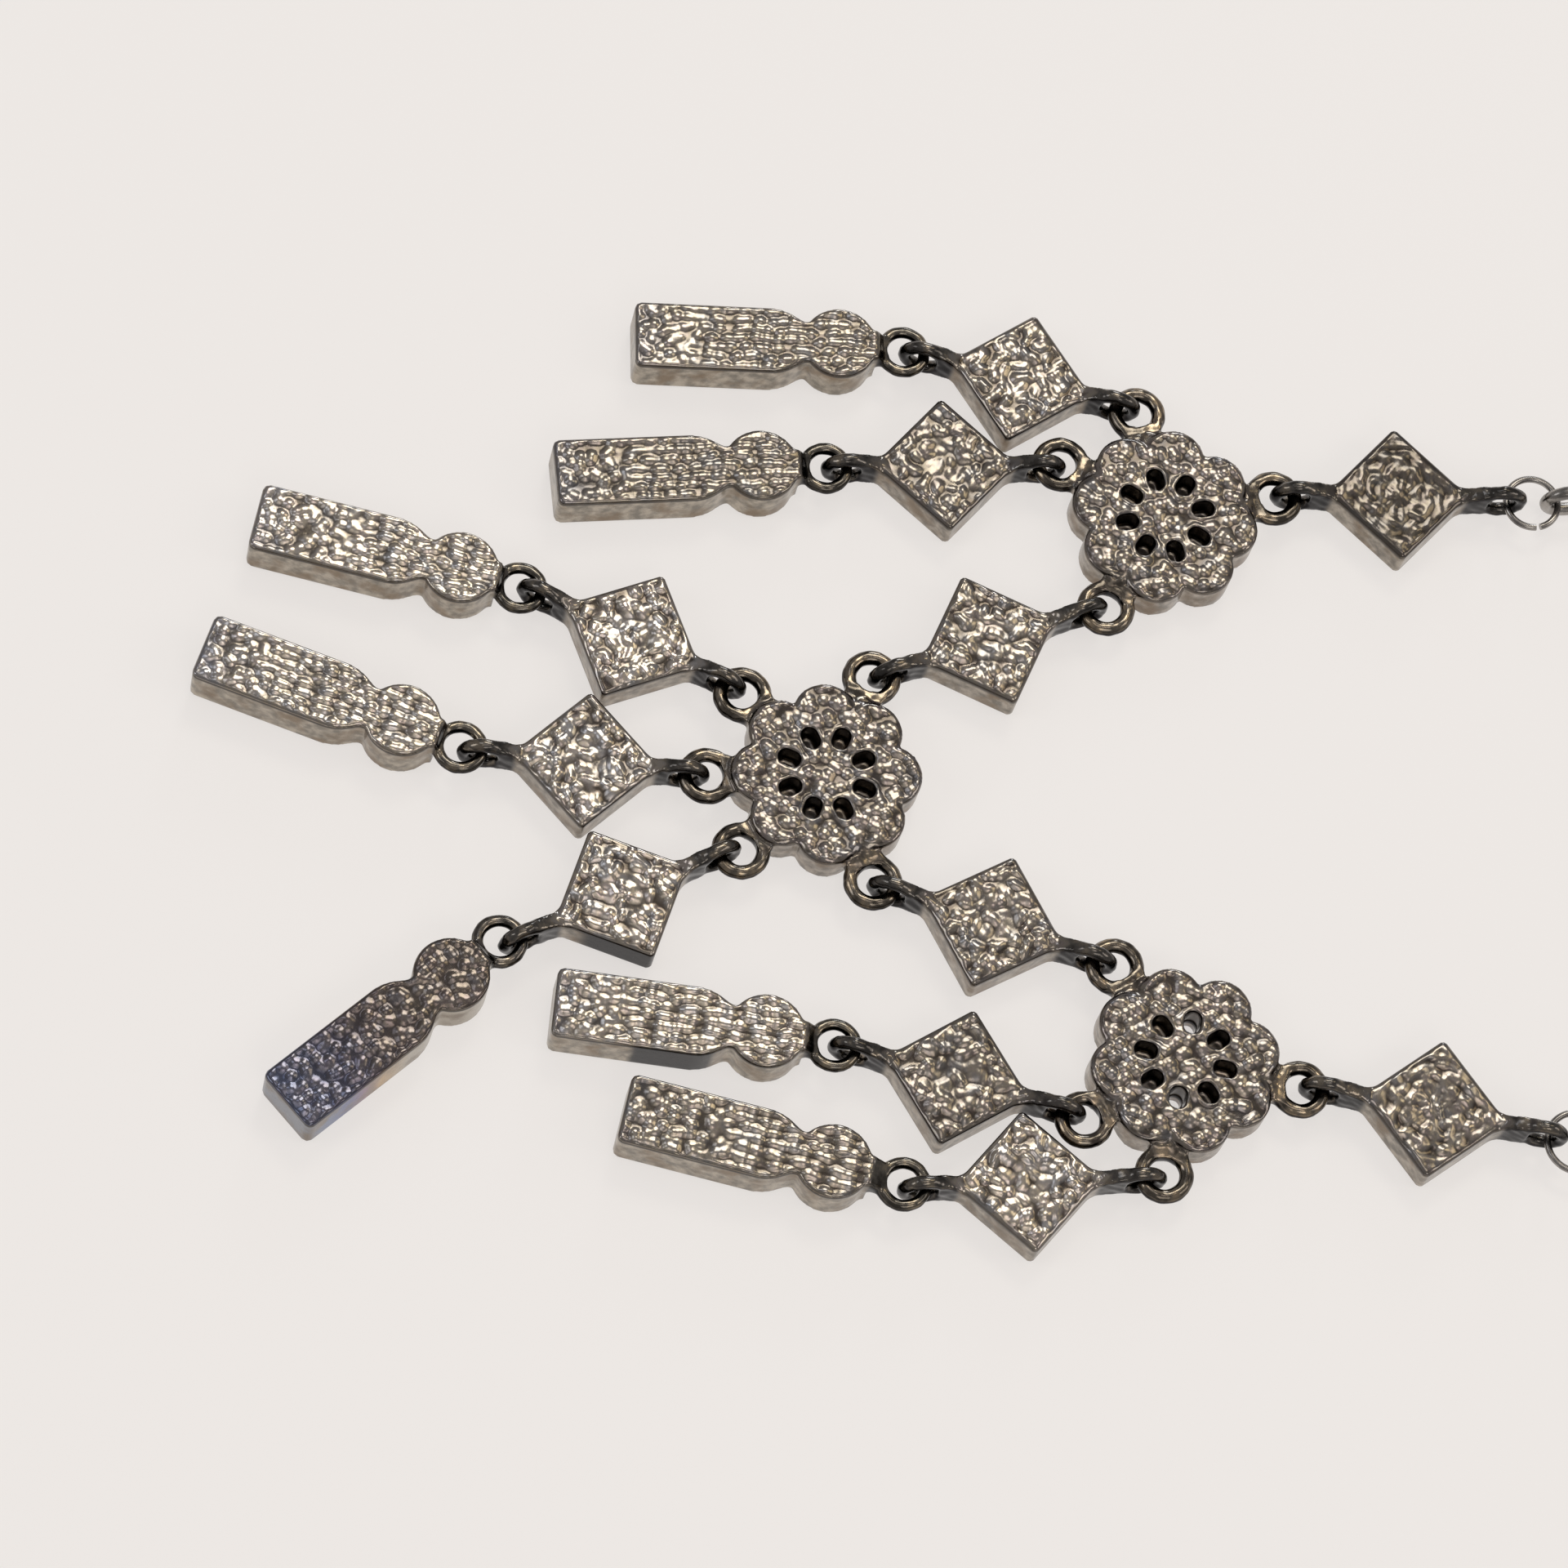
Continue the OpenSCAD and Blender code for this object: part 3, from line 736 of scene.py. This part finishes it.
for node, (ring, side) in STRANDS.items():
    bpy.ops.object.select_all(action="DESELECT")
    for i, middle in enumerate(strand_middles(ring, side)):
        link = bpy.data.objects.new(node + "_links", pattern_link.data.copy())
        bpy.context.scene.collection.objects.link(link)
        link.location = Vector((middle.x, middle.y, link_height(i))) * MM
        roll = Matrix.Rotation(radians(90 - LINK_TILT * link_ease(i) + 90 * i), 4, "X")
        turned = Matrix.Rotation(radians(strand_heading(side, i)), 4, "Z") @ roll
        link.rotation_euler = turned.to_euler()
        link.select_set(True)
    bpy.context.view_layer.objects.active = link
    bpy.ops.object.join()
    piece = bpy.context.object
    apply_place(piece)
    fuse = piece.modifiers.new("fuse", "REMESH")
    fuse.mode = "VOXEL"
    fuse.voxel_size = CHAIN_STEP * MM
    bpy.ops.object.modifier_apply(modifier="fuse")
    soften = piece.modifiers.new("soften", "SMOOTH")
    soften.factor = 0.5
    soften.iterations = 5
    bpy.ops.object.modifier_apply(modifier="soften")
    lighter = piece.modifiers.new("lighter", "DECIMATE")
    lighter.ratio = 0.45
    bpy.ops.object.modifier_apply(modifier="lighter")
    # The remesh leaves specks inside the wire where links meet, so only what hangs together
    # with the highest corner is kept
    highest = max(piece.data.vertices, key=lambda corner: corner.co.z).index
    bpy.ops.object.mode_set(mode="EDIT")
    bpy.ops.mesh.select_mode(type="VERT")
    bpy.ops.mesh.select_all(action="DESELECT")
    bpy.ops.object.mode_set(mode="OBJECT")
    piece.data.vertices[highest].select = True
    bpy.ops.object.mode_set(mode="EDIT")
    bpy.ops.mesh.select_linked()
    bpy.ops.mesh.select_all(action="INVERT")
    bpy.ops.mesh.delete(type="VERT")
    bpy.ops.object.mode_set(mode="OBJECT")
    bpy.ops.object.shade_smooth()
    piece.name = node + "_strand"
    piece.data.materials.append(chain_metal)
    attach(piece, "root")
    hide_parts(node)
bpy.data.objects.remove(pattern_link)


# The clasp is a plain turned barrel with domed ends and two fine grooves, and an upright eye
# soldered on at each end for the last links.
CLASP_LONG = 7
CLASP_WIDE = 4.4
CLASP_STEP = 0.16
DOME = 0.8
GROOVE_AT = 1.45
GROOVE_CUTS = (-1.6, -1.45, -1.3, 1.3, 1.45, 1.6)
GROOVE_SHARE = 0.94
EYE_WIDE = 3.3
EYE_WIRE = 1.15
EYE_REACH = 0.25
EYE_NECK_R = 0.6
EYE_NECK_LONG = 1.6

top_end = strand_middles(*STRANDS["chain_top"])[-1]
low_end = strand_middles(*STRANDS["chain_low"])[-1]
clasp_middle = (top_end + low_end) / 2
clasp_middle.z = link_height(0)
clasp_turn = (low_end - top_end).to_2d().angle_signed(Vector((1, 0)))
eye_at = (low_end - top_end).to_2d().length / 2 - LINK_IN - (EYE_WIDE / 2 - EYE_WIRE / 2) + EYE_REACH
clasp_metal = plain_wire("clasp_barrel_metal", (0.24, 0.225, 0.21), (0.42, 0.40, 0.37), 0.35)

bpy.ops.object.select_all(action="DESELECT")
bpy.ops.mesh.primitive_cylinder_add(vertices=72, radius=CLASP_WIDE / 2 * MM, depth=CLASP_LONG * MM,
                                    rotation=(0, pi / 2, 0))
barrel = bpy.context.object
apply_place(barrel)
bpy.ops.object.mode_set(mode="EDIT")
for cut in GROOVE_CUTS:
    bpy.ops.mesh.select_all(action="SELECT")
    bpy.ops.mesh.bisect(plane_co=(cut * MM, 0, 0), plane_no=(1, 0, 0))
bpy.ops.object.mode_set(mode="OBJECT")
for corner in barrel.data.vertices:
    if abs(abs(corner.co.x) / MM - GROOVE_AT) < 0.02:
        corner.co.y *= GROOVE_SHARE
        corner.co.z *= GROOVE_SHARE
dome = barrel.modifiers.new("dome", "BEVEL")
dome.width = DOME * MM
dome.segments = 5
dome.limit_method = "ANGLE"
dome.angle_limit = radians(60)
bpy.ops.object.modifier_apply(modifier="dome")
for end in (-1, 1):
    bpy.ops.object.select_all(action="DESELECT")
    bpy.ops.mesh.primitive_torus_add(
        major_radius=EYE_WIDE / 2 * MM, minor_radius=EYE_WIRE / 2 * MM, major_segments=56,
        minor_segments=20, location=(end * eye_at * MM, 0, 0), rotation=(pi / 2, 0, 0))
    bpy.context.object.name = "clasp_eye"
    bpy.ops.object.select_all(action="DESELECT")
    bpy.ops.mesh.primitive_cylinder_add(
        vertices=24, radius=EYE_NECK_R * MM, depth=EYE_NECK_LONG * MM, rotation=(0, pi / 2, 0),
        location=(end * (CLASP_LONG / 2 + eye_at - EYE_WIDE / 2) / 2 * MM, 0, 0))
    bpy.context.object.name = "clasp_eye_neck"
bpy.ops.object.select_all(action="DESELECT")
for part in bpy.context.scene.objects:
    part.select_set(part.name.startswith("clasp_eye"))
barrel.select_set(True)
bpy.context.view_layer.objects.active = barrel
bpy.ops.object.join()
clasp = bpy.context.object
clasp.name = "clasp_barrel"
solder = clasp.modifiers.new("solder", "REMESH")
solder.mode = "VOXEL"
solder.voxel_size = CLASP_STEP * MM
bpy.ops.object.modifier_apply(modifier="solder")
soften = clasp.modifiers.new("soften", "SMOOTH")
soften.iterations = 3
bpy.ops.object.modifier_apply(modifier="soften")
bpy.ops.object.shade_smooth()
clasp.location = clasp_middle * MM
clasp.rotation_euler = (0, 0, -clasp_turn)
apply_place(clasp)
clasp.data.materials.append(clasp_metal)
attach(clasp, "root")
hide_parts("clasp")
